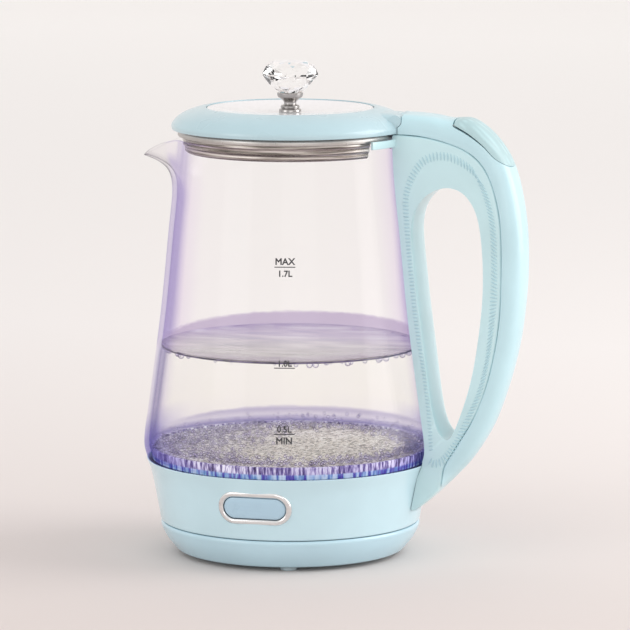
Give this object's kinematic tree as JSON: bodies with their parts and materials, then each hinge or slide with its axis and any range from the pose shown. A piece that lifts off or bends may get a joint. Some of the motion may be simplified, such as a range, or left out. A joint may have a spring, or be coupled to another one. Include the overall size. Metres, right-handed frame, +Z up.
{
  "type": "electric kettle",
  "caption": "Cordless electric kettle: flared glass jug with spout, hinged lid with crystal knob, loop handle with thumb release, lit heater collar and round power base.",
  "frame": {"origin": "on the jug's vertical axis, at the level of the surface that the feet stand on", "axes": "+Z up, +X from the axis towards the handle, -X towards the spout, -Y towards the switch"},
  "size_m": [0.2107, 0.155, 0.2615],
  "materials": {
    "body_blue": "gloss",
    "cover_blue": "high gloss",
    "base_blue": "gloss",
    "white_disc": "high gloss",
    "chrome": "polished",
    "stainless": "brushed",
    "spring_steel": "drawn wire",
    "brass": "bright",
    "jug_glass": "clear with a violet cast",
    "crystal": "cut and polished",
    "plug_grey": "satin",
    "black_plastic": "matt",
    "rubber_foot": "matt",
    "silicone": "satin",
    "board": "satin",
    "led_lens": "clear moulding"
  },
  "bodies": {
    "power_base": {"base_shell": "base_blue", "base_bottom_cover": "base_blue", "base_connector": "black_plastic", "base_contact_pin": "brass", "base_contact_ring": "brass", "cord_gland": "black_plastic", "base_foot_1": "rubber_foot", "base_foot_2": "rubber_foot", "base_foot_3": "rubber_foot", "base_foot_4": "rubber_foot", "base_screw_1": "stainless", "base_screw_2": "stainless", "base_screw_3": "stainless"},
    "jug": {"bimetal_disc": "brass", "button_pivot_pin": "stainless", "button_spring": "spring_steel", "collar_bottom_cover": "base_blue", "collar_screw_1": "stainless", "collar_screw_2": "stainless", "collar_screw_3": "stainless", "collar_shell": "body_blue", "control_module": "black_plastic", "glass_jug": "jug_glass", "handle_back_cover": "cover_blue", "handle_body": "body_blue", "handle_screw_1": "stainless", "handle_screw_2": "stainless", "heater_plate": "stainless", "heating_element": "stainless", "jug_connector": "black_plastic", "latch_spring": "spring_steel", "led_1": "led_lens", "led_2": "led_lens", "led_3": "led_lens", "led_4": "led_lens", "led_5": "led_lens", "led_6": "led_lens", "led_board": "board", "lid_hinge_bracket": "stainless", "lid_hinge_pin": "stainless", "plate_seal": "silicone", "steam_tube": "silicone", "switch_bezel": "chrome", "switch_pivot_pin": "stainless"},
    "lid": {"lid_shell": "body_blue", "lid_disc": "white_disc", "lid_inner_cover": "plug_grey", "lid_seal": "silicone", "knob_stem": "chrome", "knob_crystal": "crystal", "knob_screw": "stainless"},
    "lid_button": {"lid_release_button": "body_blue"},
    "latch": {"latch_slider": "white_disc"},
    "switch": {"switch_button": "body_blue"},
    "switch_link": {"switch_link_rod": "black_plastic"},
    "control_lever": {"trip_lever": "black_plastic"}
  },
  "joints": [
    {"name": "jug_lift", "type": "slide", "parent": "power_base", "child": "jug", "axis": [0, 0, 1], "range_m": [0, 0.12]},
    {"name": "lid_hinge", "type": "hinge", "parent": "jug", "child": "lid", "pos_m": [0.0606, 0, 0.2326], "axis": [0, 1, 0], "range_deg": [0, 80]},
    {"name": "lid_button_press", "type": "hinge", "parent": "jug", "child": "lid_button", "pos_m": [0.1125, 0, 0.21], "axis": [0, -1, 0], "range_deg": [0, 2.5], "stiffness_Nm_per_rad": 1, "springref_deg": -2.86, "deforming": ["button_spring"]},
    {"name": "latch_slide", "type": "slide", "parent": "jug", "child": "latch", "axis": [1, 0, 0], "range_m": [0, 0.0012], "deforming": ["latch_spring"]},
    {"name": "switch_rock", "type": "hinge", "parent": "jug", "child": "switch", "pos_m": [0.001, -0.0689, 0.0352], "axis": [1, 0, 0], "range_deg": [0, 6], "stiffness_Nm_per_rad": 0.05, "springref_deg": -5.73},
    {"name": "link_slide", "type": "slide", "parent": "jug", "child": "switch_link", "axis": [0, 1, 0], "range_m": [0, 0.0005]},
    {"name": "control_lever_turn", "type": "hinge", "parent": "jug", "child": "control_lever", "pos_m": [0, -0.016, 0.038], "axis": [1, 0, 0], "range_deg": [0, 4]}
  ],
  "couplings": [
    {"joint": "latch_slide", "follows": "lid_button_press", "m_per_rad": 0.0275},
    {"joint": "link_slide", "follows": "switch_rock", "m_per_rad": 0.004},
    {"joint": "control_lever_turn", "follows": "switch_rock", "ratio": 0.59}
  ]
}
